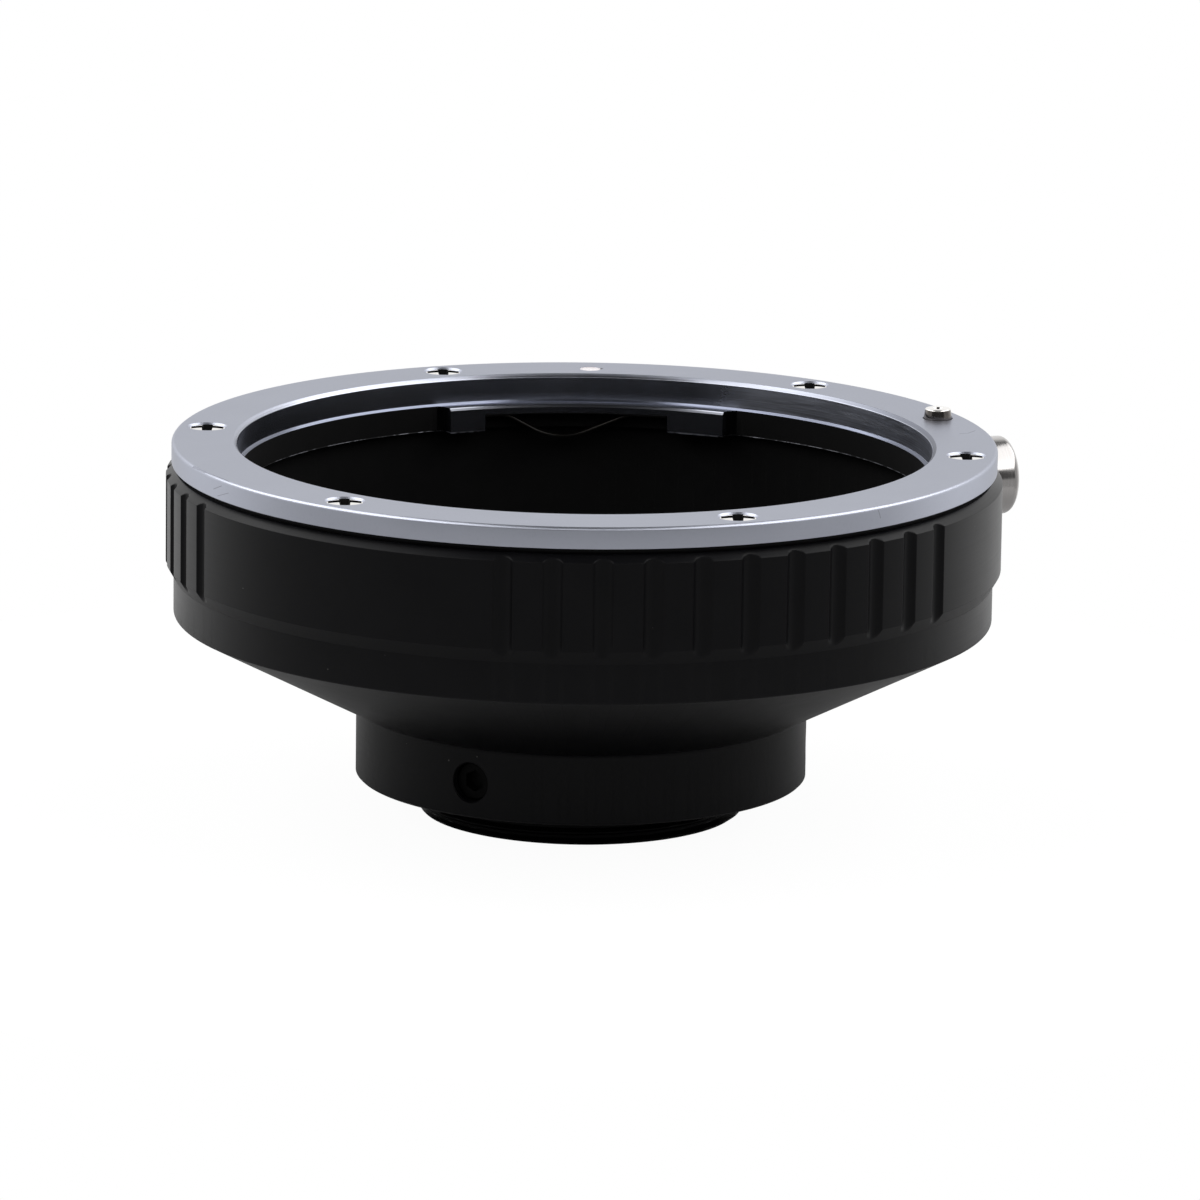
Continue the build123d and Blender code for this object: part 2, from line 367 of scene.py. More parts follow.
def surface(graph, colour, rough, normal, constants):
    """Shader with a colour, roughness and normal that vary, and constants for its other sockets."""
    sockets = {"Base Color": colour, "Roughness": rough, "Normal": normal, **constants}
    return graph.node("ShaderNodeBsdfPrincipled", sockets=sockets)


def spot_in_mm(graph):
    spot = graph.node("ShaderNodeTexCoord", output="Object")
    return graph.node("ShaderNodeVectorMath", {"operation": "SCALE"}, {"Vector": spot, "Scale": 1 / MM})


def lathe_marks(graph, spot, marks_per_mm, drift):
    """Fine rings round the optical axis, as a turning tool leaves them, that waver by the drift."""
    x, y, z = graph.parts(spot)
    radius = distance(x, y)
    along = graph.vector(radius * marks_per_mm + x * drift, z * marks_per_mm, y * drift)
    return graph.noise(along, 1.0, 3.0, 0.6)


def specks(graph, spot, per_mm, share, size):
    """1 on small round specks, of which the share is kept, up to the size in millimetres across."""
    cells = graph.node("ShaderNodeTexVoronoi", sockets={"Vector": spot, "Scale": per_mm})
    chance, scale, _ = graph.parts(cells.output("Color"))
    reach = scale * size * per_mm / 2
    return (cells < reach) * (chance < share)


def scratch(graph, spot, start, end, width):
    """1 along a fine line between two points of the surface, thinner towards its ends."""
    start, end = Vector(start), Vector(end)
    length = (end - start).length
    from_start = graph.node("ShaderNodeVectorMath", {"operation": "SUBTRACT"}, [spot, start])
    direction = (end - start) / length
    along = graph.node("ShaderNodeVectorMath", {"operation": "DOT_PRODUCT"}, [from_start, direction], "Value")
    nearest = along.clamp(0.0, length)
    foot = graph.node("ShaderNodeVectorMath", {"operation": "SCALE"}, {"Vector": direction, "Scale": nearest})
    gap = graph.node("ShaderNodeVectorMath", {"operation": "DISTANCE"}, [from_start, foot], "Value")
    return graph.ramp(gap, width, width * 0.4)


def black_anodised(graph):
    spot = spot_in_mm(graph)
    marks = lathe_marks(graph, spot, 9.0, 0.05)
    cloud = graph.noise(spot, 0.35, 3.0)
    grain = graph.noise(spot, 22.0, 2.0)
    dust = specks(graph, spot, 0.9, 0.10, 0.16)
    colour = graph.blend(cloud, (0.0020, 0.0020, 0.0026, 1), (0.0042, 0.0041, 0.0049, 1))
    colour = graph.blend(dust * 0.55, colour, (0.16, 0.155, 0.15, 1))
    rough = 0.30 + marks * 0.06 + cloud * 0.05 + dust * 0.3
    normal = graph.bump(marks, 0.0016)
    normal = graph.bump(grain, 0.0012, under=normal)
    return surface(graph, colour, rough, normal, {"IOR": 1.25})


def matte_black(graph):
    spot = spot_in_mm(graph)
    grain = graph.noise(spot, 14.0, 3.0)
    cloud = graph.noise(spot, 0.5, 2.0)
    colour = graph.blend(cloud, (0.0020, 0.0020, 0.0022, 1), (0.0042, 0.0041, 0.0042, 1))
    rough = 0.72 + grain * 0.16
    return surface(graph, colour, rough, graph.bump(grain, 0.006), {"Specular IOR Level": 0.14})


def satin_chrome(graph):
    """Turned and plated: glossy throat, rougher on its right with painted shade on its chamfer there, satin
    outside, painted shade round the lugs, scuffed, with painted shade along the rim's edge.
    """
    spot = spot_in_mm(graph)
    x, y, z = graph.parts(spot)
    radius = distance(x, y)
    outside = graph.ramp(radius, throat_r, throat_r + throat_chamfer)
    on_wall = graph.ramp(radius, throat_r - 0.06, throat_r - 0.02)
    shade_below_lugs = graph.ramp(z, lug_top, lug_top - 0.1) * (1 - on_wall)
    on_lugs = graph.ramp(radius, gap_r - 0.5, gap_r - 1.0) * shade_below_lugs
    marks = lathe_marks(graph, spot, 11.0, 0.12)
    mottle = graph.noise(spot, 4.5, 4.0, 0.7)
    cloud = graph.noise(spot, 0.22, 3.0)
    scuffs_and_rim_shade = scratch(graph, spot, *chrome_scuffs_and_rim_shade[0])
    for scuff in chrome_scuffs_and_rim_shade[1:]:
        scuffs_and_rim_shade = scuffs_and_rim_shade.math("MAXIMUM", scratch(graph, spot, *scuff))
    streaks = graph.ramp(marks, 0.46, 0.62) * (1 - outside) * (1 - shade_below_lugs)
    colour = graph.blend(cloud, (0.550, 0.575, 0.664, 1), (0.600, 0.625, 0.714, 1))
    colour = graph.blend(graph.ramp(mottle, 0.50, 0.78) * 0.35, colour, (0.48, 0.50, 0.58, 1))
    colour = graph.blend(streaks * 0.4, colour, (0.26, 0.26, 0.27, 1))
    # Painted shade: chrome below the lugs' top is darkened, a little less on the lugs' own inner faces.
    colour = graph.blend(shade_below_lugs * 0.9 - on_lugs * 0.25, colour, (0.08, 0.08, 0.085, 1))
    # Scuffs darken the chrome, and so does the painted shade along the rim's rounded edge.
    colour = graph.blend(scuffs_and_rim_shade * 0.45, colour, (0.16, 0.16, 0.18, 1))
    # Darkens a line along the index dot's edge on the +X side.
    colour = graph.blend(scratch(graph, spot, *dot_dark_line) * 0.9, colour, (0.03, 0.03, 0.035, 1))
    low_edge = graph.ramp(z, spigot_bottom + burr_height * 2, spigot_bottom + burr_height)
    worn_off = low_edge * graph.ramp(graph.noise(spot, 1.2, 3.0), 0.42, 0.56)
    colour = graph.blend(worn_off * 0.95, colour, (0.01, 0.01, 0.01, 1))
    # Painted shade: the throat chamfer's reflections are dimmed towards the right-hand side.
    edge_r = throat_r + throat_chamfer
    shade_on_right_chamfer = graph.ramp(radius, throat_r + 0.01, throat_r + 0.05) * graph.ramp(x, 14.0, 23.0)
    shade_on_right_chamfer = shade_on_right_chamfer * graph.ramp(radius, edge_r + 0.03, edge_r)
    colour = graph.blend(shade_on_right_chamfer * 0.8, colour, (0.19, 0.20, 0.24, 1))
    brushed = lathe_marks(graph, spot, 4.0, 0.3) * on_wall * (1 - outside) * graph.ramp(x, 8.0, 14.0)
    rough = 0.07 + on_lugs * 0.15 + on_wall * 0.10 + outside * 0.13 + brushed * 0.26
    rough = rough + cloud * 0.05 + marks * (1 - shade_below_lugs) * 0.04 + scuffs_and_rim_shade * 0.2 + low_edge * 0.3
    normal = graph.bump(marks * (1 - shade_below_lugs), 0.0020)
    normal = graph.bump(mottle * (1 - shade_below_lugs), 0.0012, under=normal)
    constants = {**BARE_METAL, "Specular Tint": (0.622, 0.623, 0.624, 1)}
    return surface(graph, colour, rough, normal, constants)


def bright_nickel(graph):
    spot = spot_in_mm(graph)
    cloud = graph.noise(spot, 0.8, 3.0)
    marks = graph.noise(spot, 9.0, 3.0, 0.6)
    colour = graph.blend(cloud, (0.84, 0.82, 0.79, 1), (0.92, 0.905, 0.88, 1))
    return surface(graph, colour, 0.07 + marks * 0.08, graph.bump(marks, 0.0015), BARE_METAL)


def knob_nickel(graph):
    """Nickel over fine turning marks round the knob's own axis."""
    spot = spot_in_mm(graph)
    x, y, z = graph.parts(spot)
    outwards = x * cos(radians(lock_angle)) + y * sin(radians(lock_angle))
    rings = graph.noise(graph.vector(outwards * 9.0, z * 0.25, 0.0), 1.0, 3.0, 0.6)
    cloud = graph.noise(spot, 0.9, 3.0)
    colour = graph.blend(rings, (0.44, 0.42, 0.41, 1), (0.60, 0.585, 0.578, 1))
    rough = 0.10 + rings * 0.08 + cloud * 0.04
    return surface(graph, colour, rough, graph.bump(rings, 0.0012), BARE_METAL)


def pin_nickel(graph):
    """Bright on the pin's top, brown, darker and dull down its flank."""
    spot = spot_in_mm(graph)
    _, _, z = graph.parts(spot)
    top = lens_face + pin_rise
    flank = graph.ramp(z, top - pin_edge * 0.4, top - pin_edge)
    cloud = graph.noise(spot, 2.2, 3.0)
    grain = graph.noise(spot, 14.0, 3.0)
    flank_brown = graph.blend(cloud, (0.13, 0.118, 0.11, 1), (0.28, 0.26, 0.245, 1))
    colour = graph.blend(flank, (0.90, 0.88, 0.85, 1), flank_brown)
    rough = 0.08 + flank * 0.03 + grain * 0.06
    return surface(graph, colour, rough, graph.bump(grain, 0.0015), BARE_METAL)


def spring_steel(graph):
    spot = spot_in_mm(graph)
    cloud = graph.noise(spot, 1.1, 4.0)
    grain = graph.noise(spot, 12.0, 3.0)
    colour = graph.blend(cloud, (0.026, 0.025, 0.023, 1), (0.060, 0.057, 0.052, 1))
    return surface(graph, colour, 0.30 + grain * 0.14, graph.bump(grain, 0.0018), BARE_METAL)


# Black-oxide steel, made darker and less shiny still: painted shade for the set screws deep in their holes
# and for the flange screws' cross recesses.
def blackened_steel(graph):
    spot = spot_in_mm(graph)
    cloud = graph.noise(spot, 2.5, 3.0)
    grain = graph.noise(spot, 16.0, 3.0)
    colour = graph.blend(cloud, (0.002, 0.002, 0.002, 1), (0.005, 0.005, 0.005, 1))
    rough = 0.40 + grain * 0.16
    return surface(graph, colour, rough, graph.bump(grain, 0.003), {"Specular IOR Level": 0.06})


def index_paint(graph):
    spot = spot_in_mm(graph)
    cloud = graph.noise(spot, 1.6, 3.0)
    grain = graph.noise(spot, 7.0, 3.0)
    colour = graph.blend(cloud, (0.89, 0.83, 0.85, 1), (0.95, 0.90, 0.915, 1))
    return surface(graph, colour, 0.22 + grain * 0.10, graph.bump(grain, 0.008), {"Coat Weight": 0.5})


# Shapes


def rounded_outline(corners, steps=4):
    """Outline through (radius, height, blend) corners, each rounded by its blend radius."""
    outline = []
    for place, (r, z, blend) in enumerate(corners):
        here = Vector((r, z))
        if not blend:
            outline.append(here)
            continue
        back = (Vector(corners[place - 1][:2]) - here).normalized()
        on = (Vector(corners[(place + 1) % len(corners)][:2]) - here).normalized()
        half = back.angle(on) / 2
        centre = here + (back + on).normalized() * blend / sin(half)
        first = here + back * blend / math.tan(half) - centre
        last = here + on * blend / math.tan(half) - centre
        for step in range(steps + 1):
            spoke = first.lerp(last, step / steps)
            outline.append(centre + spoke.normalized() * blend)
    return outline


def split_rows(outline, lowest, highest, longest):
    """The closed outline with its slanted stretches between two heights split into short ones."""
    rows = []
    for place, here in enumerate(outline):
        there = outline[(place + 1) % len(outline)]
        rows.append(here)
        inside = lowest <= min(here.y, there.y) and max(here.y, there.y) <= highest
        if inside and abs(here.x - there.x) > fine_edge:
            count = math.ceil((there - here).length / longest)
            rows += [here.lerp(there, step / count) for step in range(1, count)]
    return rows


def spread(first, last, longest):
    """Evenly spaced values from the first to the last, no further apart than the longest step."""
    count = max(1, math.ceil(abs(last - first) / longest))
    return [first + (last - first) * step / count for step in range(count + 1)]


def skin(rings, wrap=False, open_rings=False):
    """Points and faces of a skin over a row of rings that have equally many points."""
    count = len(rings[0])
    points = [point for ring in rings for point in ring]
    faces = []
    for place in range(len(rings) if wrap else len(rings) - 1):
        here = place * count
        there = (place + 1) % len(rings) * count
        for step in range(count - 1 if open_rings else count):
            on = (step + 1) % count
            faces.append((here + step, here + on, there + on, there + step))
    if not wrap:
        faces.append(tuple(range(count)))
        faces.append(tuple(range(len(points) - count, len(points))))
    return points, faces


def at_angle(outline, angle):
    """The outline's points in the half plane at the angle round the Z axis."""
    angle = radians(angle)
    return [(r * cos(angle), r * sin(angle), z) for r, z in outline]


def turned(outline, angles, open_rings=False):
    """Skin of an outline turned round the Z axis."""
    return skin([at_angle(outline, angle) for angle in angles], wrap=True, open_rings=open_rings)


def full_turn(count):
    return [360 * step / count for step in range(count)]


def spun(outline, count):
    """Skin of an open outline turned round the Z axis in that many steps."""
    return turned(outline, full_turn(count), open_rings=True)


def moved(shell, matrix):
    points, faces = shell
    return [matrix @ Vector(point) for point in points], faces


def radial_place(angle, height):
    """Turns a shape's Z axis outwards at the angle, its X along the rim and its Y up."""
    turn = Matrix(((0, 0, 1), (1, 0, 0), (0, 1, 0))).to_4x4()
    return Matrix.Translation((0, 0, height)) @ Matrix.Rotation(radians(angle), 4, "Z") @ turn


def on_ring(radius, angle, height):
    angle = radians(angle)
    return Matrix.Translation((radius * cos(angle), radius * sin(angle), height))


def solid(name, *shells):
    points = []
    faces = []
    for shell_points, shell_faces in shells:
        faces += [[len(points) + corner for corner in face] for face in shell_faces]
        points += [Vector(point) * MM for point in shell_points]
    mesh = bpy.data.meshes.new(name)
    mesh.from_pydata(points, [], faces)
    work = bmesh.new()
    work.from_mesh(mesh)
    bmesh.ops.remove_doubles(work, verts=work.verts, dist=SAME_SPOT)
    bmesh.ops.recalc_face_normals(work, faces=work.faces)
    work.to_mesh(mesh)
    work.free()
    piece = bpy.data.objects.new(name, mesh)
    scene.collection.objects.link(piece)
    return piece


def settle(piece):
    """Turns what the modifiers make into the piece's plain mesh."""
    bpy.context.view_layer.update()
    shown = piece.evaluated_get(bpy.context.evaluated_depsgraph_get())
    mesh = bpy.data.meshes.new_from_object(shown)
    mesh.name = piece.name
    piece.modifiers.clear()
    piece.data = mesh


def carve(piece, *shells):
    """Cuts the shells out of the piece."""
    tool = solid("cutter", *shells)
    cut = piece.modifiers.new("cut", "BOOLEAN")
    cut.operation = "DIFFERENCE"
    cut.solver = "EXACT"
    cut.object = tool
    settle(piece)
    bpy.data.objects.remove(tool)


def grow(piece, label, sizes, recipe, material):
    """Runs a geometry tree with named sizes on the piece and keeps its result as a plain mesh."""
    tree = bpy.data.node_groups.new(label, "GeometryNodeTree")
    tree.interface.new_socket("Geometry", in_out="OUTPUT", socket_type="NodeSocketGeometry")
    tree.interface.new_socket("Geometry", in_out="INPUT", socket_type="NodeSocketGeometry")
    names = {}
    for name, size in sizes.items():
        kind = "NodeSocketInt" if isinstance(size, int) else "NodeSocketFloat"
        names[name] = tree.interface.new_socket(name, in_out="INPUT", socket_type=kind)
    graph = Graph(tree)
    start = graph.node("NodeGroupInput")
    made = recipe(graph, start, {name: start.output(name) for name in sizes})
    made = graph.node("GeometryNodeRealizeInstances", sockets=[made])
    made = graph.node("GeometryNodeSetMaterial", sockets={"Geometry": made, "Material": material})
    graph.node("NodeGroupOutput", sockets=[made])
    modifier = piece.modifiers.new(label, "NODES")
    modifier.node_group = tree
    for name, size in sizes.items():
        modifier[names[name].identifier] = size
    settle(piece)
    piece.data.materials.clear()
    piece.data.materials.append(material)
    piece.data.polygons.foreach_set("material_index", [0] * len(piece.data.polygons))


def steady_round_shading(mesh):
    """Turns shading normals that are a hair off a plane through the optical axis into that plane."""
    normals = numpy.empty(len(mesh.loops) * 3, numpy.float32)
    mesh.corner_normals.foreach_get("vector", normals)
    normals = normals.reshape(-1, 3)
    corners = numpy.empty(len(mesh.loops), numpy.int32)
    mesh.loops.foreach_get("vertex_index", corners)
    points = numpy.empty(len(mesh.vertices) * 3, numpy.float32)
    mesh.vertices.foreach_get("co", points)
    spots = points.reshape(-1, 3)[corners]
    along_rim = numpy.stack([-spots[:, 1], spots[:, 0]], 1)
    along_rim /= numpy.maximum(numpy.linalg.norm(along_rim, axis=1, keepdims=True), SAME_SPOT)
    stray = (normals[:, :2] * along_rim).sum(1, keepdims=True)
    stray[numpy.abs(stray) > 0.02] = 0
    normals[:, :2] -= along_rim * stray
    mesh.normals_split_custom_set(normals.tolist())


def dress(piece, body, material, slot, *nodes):
    """Shades the piece, puts its finish on it and lets it stand for its CAD nodes."""
    if not piece.data.materials:
        piece.data.materials.append(material)
    piece.data.shade_smooth()
    piece.data.set_sharp_from_angle(angle=SMOOTH_ANGLE)
    weight = piece.modifiers.new("even shading", "WEIGHTED_NORMAL")
    weight.keep_sharp = True
    settle(piece)
    steady_round_shading(piece.data)
    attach(piece, body)
    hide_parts(*nodes)
    return piece


# Trees


def ring_of_copies(graph, copy, sizes):
    """Copies of a small piece on a circle. Where Facing is 1 they turn outwards, then a little at random."""
    index = graph.node("GeometryNodeInputIndex")
    angle = sizes["First Angle"] + index * 2 * math.pi / sizes["Count"]
    x = sizes["Ring Radius"] * angle.math("COSINE")
    y = sizes["Ring Radius"] * angle.math("SINE")
    stray = graph.node(
        "FunctionNodeRandomValue",
        {"data_type": "FLOAT"},
        {"Min": 0.0, "Max": sizes["Stray Turn"], "ID": index, "Seed": 4},
        "Value",
    )
    points = graph.node("GeometryNodeMeshLine", sockets={"Count": sizes["Count"], "Offset": (0, 0, 0)})
    spots = {"Geometry": points, "Position": graph.vector(x, y, sizes["Height"])}
    points = graph.node("GeometryNodeSetPosition", sockets=spots)
    turn = graph.vector(0.0, 0.0, angle * sizes["Facing"] + stray)
    copies = {"Points": points, "Instance": copy, "Rotation": turn}
    return graph.node("GeometryNodeInstanceOnPoints", sockets=copies)


def wrapped(angle, half_turn):
    return angle.math("WRAP", half_turn, -half_turn)


def grip_flutes(graph, body, sizes):
    """Hollows down the band: each point moves in to the wall of the round cutter that passes it."""
    x, y, z = graph.parts(graph.node("GeometryNodeInputPosition"))
    radius = distance(x, y)
    angle = y.math("ARCTAN2", x)
    in_group = wrapped(angle - sizes["First Group"], math.pi / flute_groups)
    place = (in_group / sizes["Pitch"]).math("ROUND")
    last = (flutes_in_group - 1) / 2
    place = place.clamp(-last, last)
    off_centre = in_group - place * sizes["Pitch"]
    off_centre = off_centre.clamp(sizes["Pitch"] * -0.5, sizes["Pitch"] * 0.5)
    side = sizes["Cutter Centre"] * off_centre.math("SINE")
    deep = (sizes["Cutter Radius"] ** 2 - side * side).math("MAXIMUM", 0.0) ** 0.5
    wall = sizes["Cutter Centre"] * off_centre.math("COSINE") - deep
    fluted = radius.math("SMOOTH_MIN", wall, sizes["Edge"])
    beside_knob = abs(wrapped(angle - sizes["Knob Angle"], math.pi)) > sizes["Knob Half Angle"]
    share = 1 + (fluted / radius - 1) * beside_knob
    moved_to = {"Geometry": body, "Position": graph.vector(x * share, y * share, z)}
    return graph.node("GeometryNodeSetPosition", sockets=moved_to)


def camera_thread(graph, ring, sizes):
    """Cuts the thread's turns into the plain cylinder below the shoulder, running out towards it."""
    x, y, z = graph.parts(graph.node("GeometryNodeInputPosition"))
    radius = distance(x, y)
    turn = z / sizes["Pitch"] - y.math("ARCTAN2", x) / (2 * math.pi)
    from_groove = abs(turn.math("FRACT") - 0.5) * 2
    groove = ((1 - thread_crest_share - from_groove) / thread_flank_share).clamp(0.0, 1.0)
    runout = graph.ramp(z, 0.0, -sizes["Runout"])
    cut = sizes["Radius"] - sizes["Depth"] * groove * runout
    threaded = radius.math("MINIMUM", cut)
    outside = (radius > sizes["Radius"] - sizes["Depth"]) * (z < -SAME_SPOT)
    share = 1 + (threaded / radius - 1) * outside
    moved_to = {"Geometry": ring, "Position": graph.vector(x * share, y * share, z)}
    return graph.node("GeometryNodeSetPosition", sockets=moved_to)


def wire_coil(graph, empty, sizes):
    """Round wire wound into a coil that stands on the XY plane."""
    line = graph.node(
        "GeometryNodeCurveSpiral",
        sockets={
            "Resolution": 28,
            "Rotations": sizes["Turns"],
            "Start Radius": sizes["Coil Radius"],
            "End Radius": sizes["Coil Radius"],
            "Height": sizes["Height"],
            "Reverse": False,
        },
    )
    wire = graph.node(
        "GeometryNodeCurvePrimitiveCircle",
        {"mode": "RADIUS"},
        {"Resolution": 14, "Radius": sizes["Wire Radius"]},
    )
    coil = {"Curve": line, "Profile Curve": wire, "Fill Caps": True}
    return graph.node("GeometryNodeCurveToMesh", sockets=coil)


# Pieces


def body_angles():
    """Angles of the body's columns: close together across each flute, wider apart elsewhere."""
    half = math.degrees(math.asin(flute_width / 2 / band_r))
    shares = (0, 0.3, 0.55, 0.75, 0.88, 0.95, 1.0, 1.05, 1.12, 1.3)
    angles = set()
    for group in range(flute_groups):
        middle = flute_group_angle + 360 / flute_groups * group
        for place in range(flutes_in_group):
            angle = middle + (place - (flutes_in_group - 1) / 2) * flute_pitch_angle
            for share in shares:
                angles.add(round((angle + share * half) % 360, 4))
                angles.add(round((angle - share * half) % 360, 4))
    angles = sorted(angles)
    columns = []
    for place, angle in enumerate(angles):
        on = angles[place + 1] if place + 1 < len(angles) else angles[0] + 360
        columns += spread(angle, on, 0.9)[:-1]
    return columns


def set_screw_hole():
    """Tapped hole in the collar, its Z axis outwards, with ring grooves for the turns of its thread."""
    hole_r = set_screw_r + thread_clearance
    outline = [(0, collar_r + cut_margin), (hole_r + set_screw_mouth + cut_margin, collar_r + cut_margin)]
    outline.append((hole_r, collar_r - set_screw_mouth))
    at = collar_r - set_screw_mouth
    while at - set_screw_pitch > ring_bore_r:
        outline.append((hole_r + set_screw_thread, at - set_screw_pitch / 2))
        outline.append((hole_r, at - set_screw_pitch))
        at -= set_screw_pitch
    inner_end = ring_bore_r - set_screw_overrun
    outline += [(hole_r, inner_end), (0, inner_end)]
    return spun(outline, 64)


def round_hole(radius, bottom, top, count=40):
    outline = [(0, bottom), (radius, bottom), (radius, top), (0, top)]
    return spun(outline, count)


def stem_slot():
    """Upright slot that the knob's stem slides in."""
    half = stem_r + slot_clearance
    top = stem_r + stop_clearance - half
    bottom = half - stem_r - slot_clearance - lock_travel
    outline = []
    for first, middle in ((0, top), (180, bottom)):
        for angle in map(math.radians, spread(first, first + 180, 10)):
            outline.append((half * cos(angle), middle + half * sin(angle)))
    ends = (pin_pitch_r, band_r + cut_margin)
    return skin([[(x, y, at) for x, y in outline] for at in ends])


def make_main_body(outside, inside):
    outline = rounded_outline([
        (ledge_r, ring_height, 0),
        (ring_bore_r, ring_height, 0),
        (ring_bore_r, 0, fine_edge),
        (collar_r - collar_edge, 0, fine_edge),
        (collar_r, collar_edge, fine_edge),
        (collar_r, collar_height, collar_round),
        (lower_band_r, cone_top, lower_band_edge),
        (lower_band_r, lower_band_top, band_blunt),
        (band_r, band_bottom, band_blunt),
        (band_r, band_top - band_chamfer_height, band_blunt),
        (band_r - band_chamfer_width, band_top, band_blunt),
        (seat_r, band_top, 0),
        (seat_r, seat_z, 0),
        (spigot_bore_r, seat_z, 0),
        (spigot_bore_r, spigot_bottom - spigot_end_gap, 0),
        (cavity_r, spigot_bottom - spigot_end_gap, fine_edge),
        (cavity_r, cone_top, cavity_round),
        (ledge_r, ring_height + ledge_thickness, ledge_edge),
    ])
    outline = split_rows(outline, lower_band_top - band_blunt, band_top, flute_row)
    piece = solid("funnel_body", turned(outline, body_angles()))
    sizes = {
        "First Group": radians(flute_group_angle),
        "Pitch": radians(flute_pitch_angle),
        "Cutter Radius": flute_r * MM,
        "Cutter Centre": flute_centre_r * MM,
        "Edge": flute_edge * MM,
        "Knob Angle": radians(lock_angle),
        "Knob Half Angle": radians(knob_half_angle),
    }
    grow(piece, "grip flutes", sizes, grip_flutes, outside)
    cuts = [moved(stem_slot(), radial_place(lock_angle, knob_z))]
    pin_hole = round_hole(pin_r + running_clearance, spring_floor, seat_z + cut_margin)
    cuts.append(moved(pin_hole, on_ring(pin_pitch_r, lock_angle, 0)))
    cuts += [moved(set_screw_hole(), radial_place(angle, set_screw_height)) for angle in set_screw_angles]
    screw_hole = round_hole(screw_r, lens_face - screw_sink - screw_length, seat_z + cut_margin)
    cuts += [moved(screw_hole, on_ring(screw_pitch_r, angle, 0)) for angle in screw_angles]
    carve(piece, *cuts)
    piece.data.materials.append(inside)
    for face in piece.data.polygons:
        middle = face.center / MM
        radius = math.hypot(middle.x, middle.y)
        slope = (middle.z - ring_height - ledge_thickness) / (cone_top - ring_height - ledge_thickness)
        wall = ledge_r + min(max(slope, 0), 1) * (cavity_r - ledge_r)
        if middle.z > ring_height and radius < wall + 0.5:
            face.material_index = 1
    return dress(piece, "housing", outside, "black_anodised", "main_body")


def flange_columns():
    """(angle, shelf radius, shelf underside, burr) round the flange, in pairs where the shelf steps."""
    corner_centre_r = gap_r - gap_corner_r
    corner_angle = math.degrees(math.asin(gap_corner_r / corner_centre_r))

    def corner(turn):
        """Radius of the cutter's corner, by the angle from the lug's end."""
        off = radians(turn - corner_angle)
        across = (corner_centre_r * sin(off)) ** 2
        return corner_centre_r * cos(off) + math.sqrt(max(gap_corner_r**2 - across, 0))

    corner_turns = spread(0, corner_angle, corner_step_angle)
    columns = []
    for middle in lug_angles:
        start = middle - lug_width_angle / 2
        end = middle + lug_width_angle / 2
        recess_start = middle + recess_shift_angle - recess_angle / 2
        recess_end = recess_start + recess_angle
        for turn in reversed(corner_turns):
            columns.append((start - turn, corner(turn), spigot_bottom, 0))
        stops = (start, recess_start, recess_end, end)
        for first, last, underside in zip(stops, stops[1:], (spigot_bottom, web_bottom, spigot_bottom)):
            columns += [(angle, lug_r, underside, 0) for angle in spread(first, last, flange_step_angle)]
        for turn in corner_turns:
            columns.append((end + turn, corner(turn), spigot_bottom, 0))
        gap_end = start + 360 / lug_count - corner_angle
        for angle in spread(end + corner_angle, gap_end, flange_step_angle)[1:-1]:
            columns.append((angle, gap_r, spigot_bottom, gap_burr))
    return columns


